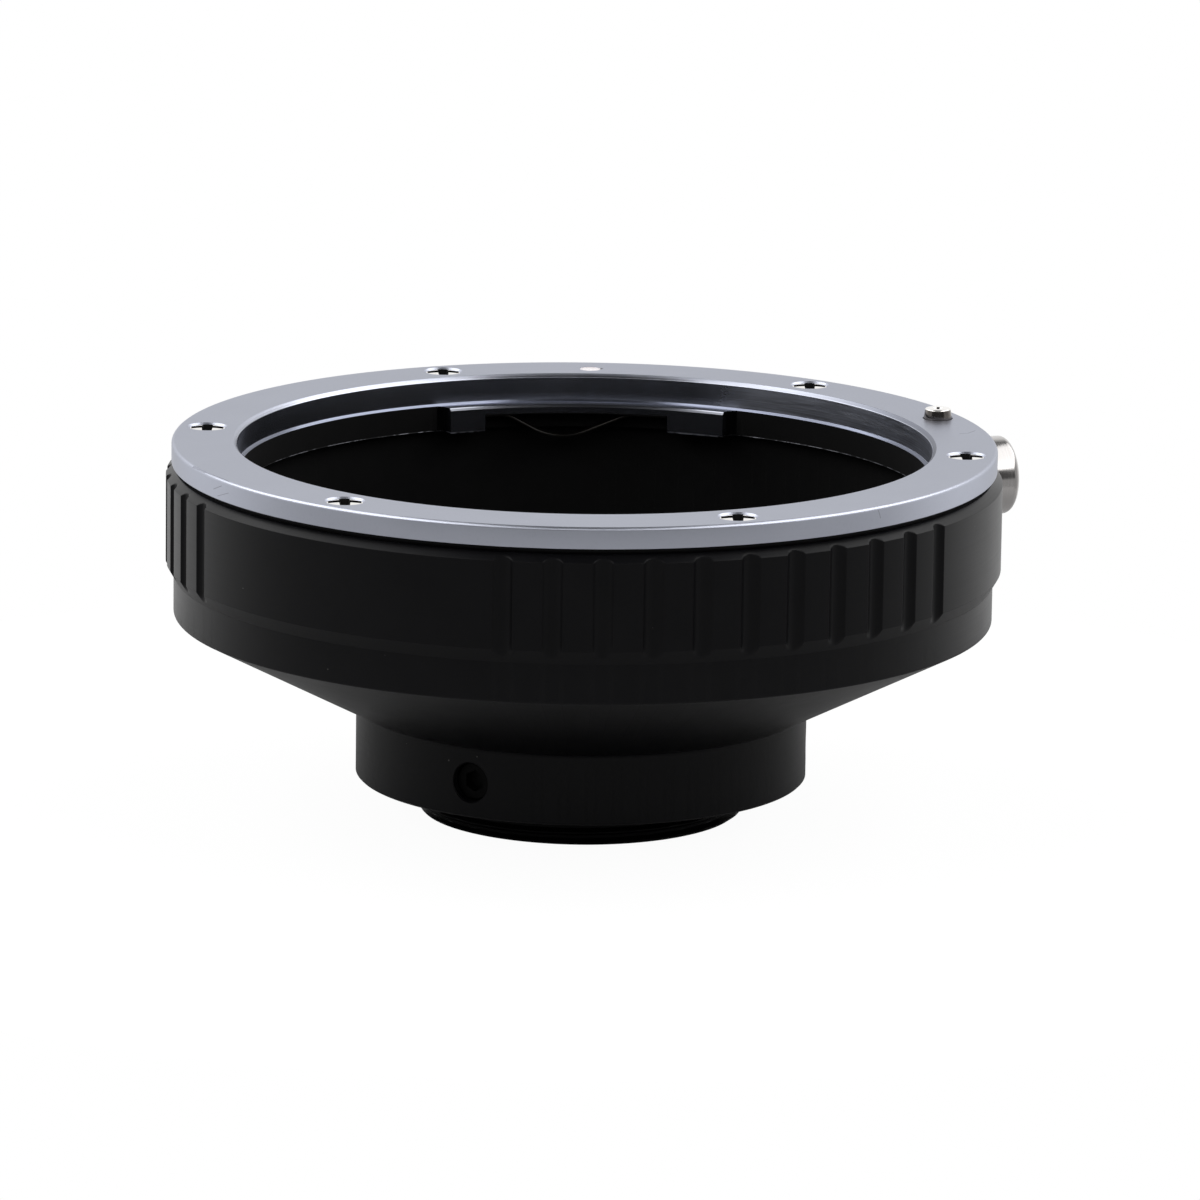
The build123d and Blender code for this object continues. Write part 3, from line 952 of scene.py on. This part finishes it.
def make_bayonet_flange(chrome, inside):
    rim = rounded_outline([
        (throat_r, lug_top + bevel_height, 0),
        (throat_r, lens_face - throat_chamfer, fine_edge),
        (throat_r + throat_chamfer, lens_face, fine_edge),
        (flange_r, lens_face, rim_round),
        (flange_r, seat_z, fine_edge),
        (spigot_r, seat_z, 0),
        (spigot_r, spigot_bottom, fine_edge),
        (gap_r + fine_edge, spigot_bottom, 0),
    ], 6)
    chamfer_r = lug_r + lug_chamfer
    rings = []
    for angle, shelf_r, underside, burr in flange_columns():
        inner_wall = [
            (gap_r, spigot_bottom),
            (gap_r, underside),
            (shelf_r - burr, underside + burr),
            (shelf_r, underside + burr_height),
            (shelf_r, lug_top - max(chamfer_r - shelf_r, 0)),
            (max(shelf_r, chamfer_r), lug_top),
            (gap_r, lug_top),
        ]
        rings.append(at_angle([*rim, *inner_wall], angle))
    piece = solid("bayonet_ring", skin(rings, wrap=True))
    sunk_r = screw_head_r + screw_sink + fit_clearance
    hole_r = screw_r + fit_clearance
    countersink = spun([
        (0, seat_z - cut_margin),
        (hole_r, seat_z - cut_margin),
        (hole_r, lens_face - sunk_r + hole_r),
        (sunk_r, lens_face),
        (sunk_r + cut_margin, lens_face + cut_margin),
        (0, lens_face + cut_margin),
    ], 72)
    cuts = [moved(countersink, on_ring(screw_pitch_r, angle, 0)) for angle in screw_angles]
    pin_hole = round_hole(pin_r + running_clearance, seat_z - cut_margin, lens_face + cut_margin, 72)
    cuts.append(moved(pin_hole, on_ring(pin_pitch_r, lock_angle, 0)))
    dot_hole = round_hole(dot_r, lens_face - dot_depth, lens_face + cut_margin, 64)
    cuts.append(moved(dot_hole, on_ring(dot_pitch_r, 90, 0)))
    carve(piece, *cuts)
    piece.data.materials.append(chrome)
    piece.data.materials.append(inside)
    # Painted shade: the chrome of the recesses under the lugs and of the gap walls, which lies in shade,
    # takes the matte black of the inside.
    for face in piece.data.polygons:
        middle = face.center / MM
        turn = math.degrees(math.atan2(middle.y, middle.x))
        from_recess = min(abs((turn - angle - recess_shift_angle + 180) % 360 - 180) for angle in lug_angles)
        radius = math.hypot(middle.x, middle.y)
        in_shaded_recess = middle.z < web_bottom + fine_edge and radius < gap_r + fine_edge
        in_shaded_recess = in_shaded_recess and from_recess < recess_angle / 2 - 0.1
        on_shaded_gap_wall = abs(radius - gap_r) < fine_edge and spigot_bottom + burr_height < middle.z < lug_top
        if in_shaded_recess or on_shaded_gap_wall:
            face.material_index = 1
    return dress(piece, "housing", chrome, "satin_chrome", "bayonet_flange")


def make_flange_screws(nickel, dark):
    """Countersunk screws with low domes and cross recesses that narrow towards the bottom; the recesses get
    painted shade in blackened steel.
    """
    head_height = screw_head_r - screw_r
    outline = [
        (0, -screw_length),
        (screw_r - screw_tip_edge, -screw_length),
        (screw_r, screw_tip_edge - screw_length),
        (screw_r, -head_height),
        (screw_head_r - screw_dome, -screw_dome),
    ]
    dome_r = screw_head_r - screw_dome - 0.03
    for share in (1.0, 0.9, 0.75, 0.55, 0.3, 0.0):
        outline.append((dome_r * share, 0.02 - screw_dome * share**2))
    piece = solid("countersunk_screws", spun(outline, 72))
    half = cross_width / 2
    rings = []
    for reach, height in ((cross_tip_r, -cross_depth), (cross_reach, 0.0), (cross_reach, cut_above)):
        end = cross_end_width / 2 * reach / cross_reach
        inner = half * (cross_floor_share if height < 0 else 1.0)
        cross = []
        for quarter in range(4):
            turn = Matrix.Rotation(radians(90 * quarter), 2)
            for corner in ((reach, -end), (reach, end), (inner, inner)):
                cross.append((*(turn @ Vector(corner)), height))
        rings.append(cross)
    carve(piece, skin(rings))
    sizes = {
        "Count": screw_count,
        "First Angle": radians(screw_angle),
        "Ring Radius": screw_pitch_r * MM,
        "Height": (lens_face - screw_sink) * MM,
        "Facing": 0.0,
        "Stray Turn": radians(5),
    }
    grow(piece, "ring of flange screws", sizes, ring_of_copies, nickel)
    piece.data.materials.append(dark)
    # Painted shade: the cross recesses' walls and floors take the blackened steel.
    recess_top = (lens_face - screw_sink - screw_dome - 0.02) * MM
    for face in piece.data.polygons:
        sloped = 0.02 < face.normal.z < 0.6
        if sloped or face.center.z < recess_top and face.normal.z > 0.02:
            face.material_index = 1
    return dress(piece, "housing", nickel, "bright_nickel", "flange_screws")


def make_index_dot(paint):
    top = lens_face - dot_sink
    outline = [
        (0, lens_face - dot_depth),
        (dot_r - thread_clearance, lens_face - dot_depth),
        (dot_r - thread_clearance, top + 0.03),
        (dot_r * 0.9, top - 0.01),
        (dot_r * 0.7, top),
        (dot_r * 0.35, top + 0.02),
        (0, top + 0.025),
    ]
    shell = moved(spun(outline, 64), on_ring(dot_pitch_r, 90, 0))
    piece = solid("index_mark", shell)
    return dress(piece, "housing", paint, "index_paint", "index_dot")


def make_leaf_spring(number, middle, steel):
    """Strip that lies flat on the web at both ends and bows down between them."""
    inner_r = lug_r + leaf_inset
    outer_r = gap_r - leaf_inset
    half = inner_r * sin(radians(recess_angle / 2)) - leaf_end_gap
    line_z = -leaf_thickness / 2
    bends = rounded_outline([
        (-half, line_z, 0),
        (leaf_long_flat - half, line_z, leaf_end_bend_r),
        (leaf_bow_shift, line_z - leaf_bow, leaf_bow_r),
        (half - leaf_short_flat, line_z, leaf_end_bend_r),
        (half, line_z, 0),
    ], 16)
    line = []
    for here, there in zip(bends, bends[1:]):
        count = math.ceil((there - here).length / leaf_step)
        line += [here.lerp(there, step / count) for step in range(count)]
    line.append(bends[-1])
    rings = []
    for place, here in enumerate(line):
        ahead = (line[min(place + 1, len(line) - 1)] - line[max(place - 1, 0)]).normalized()
        up = Vector((-ahead.y, ahead.x)) * leaf_thickness / 2
        edge = up * (1 - 2 * leaf_edge / leaf_thickness)
        near = math.sqrt(inner_r**2 - here.x**2)
        far = math.sqrt(outer_r**2 - here.x**2)
        rings.append([
            (*(here - up), near + leaf_edge),
            (*(here - up), far - leaf_edge),
            (*(here - edge), far),
            (*(here + edge), far),
            (*(here + up), far - leaf_edge),
            (*(here + up), near + leaf_edge),
            (*(here + edge), near),
            (*(here - edge), near),
        ])
    shell = moved(skin(rings), radial_place(middle + recess_shift_angle, web_bottom))
    piece = solid(f"leaf_strip_{number}", shell)
    return dress(piece, "housing", steel, "spring_steel", f"leaf_spring_{number}")


def make_lock_pin(nickel):
    top = lens_face + pin_rise
    profile = rounded_outline([
        (0, pin_bottom, 0),
        (pin_r, pin_bottom, 0.1),
        (pin_r, lens_face, 0),
        (pin_top_r, top, pin_edge),
        (pin_dimple_r, top, 0.03),
        (pin_dimple_r / 2, top - pin_dimple_r / 2, 0.02),
        (pin_dimple_r / 2, top - pin_dimple_depth, 0),
        (0, top - pin_dimple_depth, 0),
    ])
    shell = moved(spun(profile, 96), on_ring(pin_pitch_r, lock_angle, 0))
    piece = solid("dimpled_pin", shell)
    return dress(piece, "lock", nickel, "bright_nickel", "lock_pin")


def make_release_knob(nickel):
    back = band_r + knob_clearance
    front = back + knob_length
    profile = rounded_outline([
        (0, pin_pitch_r - stem_reach, 0),
        (stem_r, pin_pitch_r - stem_reach, 0.08),
        (stem_r, back, 0.05),
        (knob_r - knob_back_edge, back, 0.04),
        (knob_r, back + knob_back_edge, 0.04),
        (knob_r, front, knob_edge),
        (0, front, 0),
    ], 8)
    shell = moved(spun(profile, 144), radial_place(lock_angle, knob_z))
    piece = solid("knob_and_stem", shell)
    return dress(piece, "lock", nickel, "bright_nickel", "release_knob")


def make_lock_spring(steel):
    piece = solid("coil_under_pin")
    sizes = {
        "Turns": float(spring_turns),
        "Coil Radius": spring_coil_r * MM,
        "Height": (spring_length - 2 * spring_wire_r) * MM,
        "Wire Radius": spring_wire_r * MM,
    }
    grow(piece, "wire coil", sizes, wire_coil, steel)
    foot = on_ring(pin_pitch_r * MM, lock_angle, (spring_floor + spring_wire_r) * MM)
    piece.data.transform(foot)
    dress(piece, "housing", steel, "spring_steel", "lock_spring")
    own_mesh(piece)


def make_thread_ring(black):
    thread_rows = spread(-thread_length + thread_chamfer, -0.02, thread_pitch / 26)
    outline = [
        (ring_r - ring_edge, ring_height),
        (light_r + ring_edge, ring_height),
        (light_r, ring_height - ring_edge),
        (light_r, 0.1 - thread_length),
        (light_r + 0.1, -thread_length),
    ]
    end_r = thread_r - thread_chamfer
    for share in spread(0, 1, 0.1):
        outline.append((end_r + share * thread_chamfer, share * thread_chamfer - thread_length))
    outline += [(thread_r, z) for z in thread_rows[1:]]
    outline += [
        (thread_r, 0),
        (ring_r - fine_edge, 0),
        (ring_r, fine_edge),
        (ring_r, set_screw_height - groove_depth),
        (ring_r - groove_depth, set_screw_height),
        (ring_r, set_screw_height + groove_depth),
        (ring_r, ring_height - ring_edge),
    ]
    piece = solid("threaded_ring", turned(outline, full_turn(400)))
    sizes = {
        "Radius": thread_r * MM,
        "Depth": thread_depth * MM,
        "Pitch": thread_pitch * MM,
        "Runout": thread_runout * MM,
    }
    grow(piece, "camera thread", sizes, camera_thread, black)
    return dress(piece, "housing", black, "black_ring", "thread_ring")


def make_set_screws(steel):
    """Headless screws with a hexagon socket, pointing in at the thread ring's groove."""
    outer_at = collar_r - set_screw_sink
    tip_at = ring_r - groove_depth + set_screw_tip_r + thread_clearance
    length = outer_at - tip_at
    cone = set_screw_r - set_screw_tip_r
    outline = [
        (0, -length),
        (set_screw_tip_r, -length),
        (set_screw_r, cone - length),
        (set_screw_r, -set_screw_edge),
        (set_screw_r - set_screw_edge, 0),
        (0, 0),
    ]
    outwards = Matrix.Rotation(radians(90), 4, "Y")
    piece = solid("socket_screws", moved(spun(outline, 64), outwards))
    corner_r = set_screw_socket / 2 / cos(radians(30))
    edge = [(corner_r, -set_screw_socket_depth), (corner_r, cut_above)]
    rings = list(zip(*[at_angle(edge, angle) for angle in full_turn(6)]))
    carve(piece, moved(skin(rings), outwards))
    sizes = {
        "Count": set_screw_count,
        "First Angle": radians(set_screw_angle),
        "Ring Radius": outer_at * MM,
        "Height": set_screw_height * MM,
        "Facing": 1.0,
        "Stray Turn": 0.0,
    }
    grow(piece, "ring of set screws", sizes, ring_of_copies, steel)
    return dress(piece, "housing", steel, "blackened_steel", "set_screws")


# Studio

camera_distance = 696.7
camera_elevation = 12.562
camera_azimuth = 0.6
camera_roll = -0.785
camera_shift_right = -1.346
camera_shift_up = 12.352
camera_lens = 268.7
sensor_width = 36.0
floor_r = 80.0
softbox_elevation = 50
softbox_distance = 600
softbox_width = 900
softbox_height = 420
softbox_radiance = 1.9


def add_camera():
    """Camera where the photograph was taken from, aimed beside and below the flange's middle."""
    turn = radians(camera_azimuth)
    tilt = radians(camera_elevation)
    roll = radians(camera_roll)
    right = Vector((cos(turn), sin(turn), 0))
    away = Vector((-sin(turn), cos(turn), 0))
    up = away * sin(tilt) + Vector((0, 0, cos(tilt)))
    forward = right.cross(up) * -1
    spot = Vector((0, 0, lens_face)) - right * camera_shift_right - up * camera_shift_up
    spot -= forward * camera_distance
    rolled_right = right * cos(roll) - up * sin(roll)
    rolled_up = right * sin(roll) + up * cos(roll)
    lens = bpy.data.cameras.new("camera")
    lens.lens = camera_lens
    lens.sensor_width = sensor_width
    lens.clip_start = 0.01
    camera = bpy.data.objects.new("camera", lens)
    axes = Matrix((rolled_right, rolled_up, -forward)).transposed().to_4x4()
    camera.matrix_world = Matrix.Translation(spot * MM) @ axes
    scene.collection.objects.link(camera)
    scene.camera = camera


def floor_finish(graph):
    """Pale floor that the camera sees as white, with a trace of the object's shadow."""
    pale = graph.node("ShaderNodeBsdfDiffuse", sockets={"Color": (0.52, 0.52, 0.52, 1)})
    white = graph.node("ShaderNodeEmission", sockets={"Color": (1, 1, 1, 1), "Strength": 1.09})
    seen = graph.node("ShaderNodeLightPath", output="Is Camera Ray")
    return graph.node("ShaderNodeMixShader", sockets=[seen * 0.88, pale, white])


def add_floor():
    outline = [(0, -thread_length), (floor_r, -thread_length)]
    floor = solid("floor", spun(outline, 96))
    floor.data.materials.append(finish("pale floor", floor_finish))


def add_world():
    """White backdrop behind the object, dark overhead and round the camera, above a grey table."""
    world = bpy.data.worlds.new("studio")
    scene.world = world
    world.use_nodes = True
    graph = Graph(world.node_tree)
    _, y, z = graph.parts(graph.node("ShaderNodeTexCoord", output="Generated"))
    behind = graph.ramp(y, -0.15, 0.80)
    overhead = graph.ramp(z, 0.48, 0.88)
    front = graph.ramp(y, -0.42, -0.64)
    round_camera = front * graph.ramp(z, 0.42, 0.34)
    below = graph.ramp(z, 0.0, -0.06)
    above = (0.42 + 0.58 * behind + 0.70 * front) * (1 - 0.97 * overhead) * (1 - 0.93 * round_camera)
    table = 0.40 + 0.56 * behind
    level = above + (table - above) * below
    studio = graph.node("ShaderNodeBackground", sockets={"Color": (1, 1, 1, 1), "Strength": level})
    white = graph.node("ShaderNodeBackground", sockets={"Color": (1, 1, 1, 1), "Strength": 1.0})
    seen = graph.node("ShaderNodeLightPath", output="Is Camera Ray")
    shown = graph.node("ShaderNodeMixShader", sockets=[seen, studio, white])
    graph.node("ShaderNodeOutputWorld", sockets={"Surface": shown})


def add_softbox(name, azimuth):
    """Wide lamp that faces the object from the azimuth, measured from +X towards +Y."""
    lamp = bpy.data.lights.new(name, "AREA")
    lamp.shape = "RECTANGLE"
    lamp.size = softbox_width * MM
    lamp.size_y = softbox_height * MM
    lamp.energy = softbox_radiance * math.pi * softbox_width * softbox_height * MM * MM
    turn = radians(azimuth)
    tilt = radians(softbox_elevation)
    outwards = Vector((cos(turn) * cos(tilt), sin(turn) * cos(tilt), sin(tilt)))
    holder = bpy.data.objects.new(name, lamp)
    aim = outwards.to_track_quat("Z", "Y").to_matrix().to_4x4()
    holder.matrix_world = Matrix.Translation(outwards * softbox_distance * MM) @ aim
    scene.collection.objects.link(holder)


anodised = finish("black anodised", black_anodised)
inner_black_and_shade = finish("matte black inside and painted shade", matte_black)
ring_black = finish("black thread ring", black_anodised)
chrome = finish("satin chrome", satin_chrome)
nickel = finish("bright nickel", bright_nickel)
knob_plate = finish("turned nickel", knob_nickel)
pin_plate = finish("nickel with a brown flank", pin_nickel)
leaf_steel = finish("spring steel", spring_steel)
dark_steel_and_painted_shade = finish("blackened steel", blackened_steel)
paint = finish("index paint", index_paint)

make_main_body(anodised, inner_black_and_shade)
make_bayonet_flange(chrome, inner_black_and_shade)
make_flange_screws(nickel, dark_steel_and_painted_shade)
make_index_dot(paint)
for number, middle in enumerate(lug_angles, start=1):
    make_leaf_spring(number, middle, leaf_steel)
make_lock_pin(pin_plate)
make_release_knob(knob_plate)
make_lock_spring(leaf_steel)
make_thread_ring(ring_black)
make_set_screws(dark_steel_and_painted_shade)

add_camera()
add_floor()
add_world()
add_softbox("right softbox", 0)
add_softbox("left softbox", 180)
scene.view_settings.view_transform = "Standard"
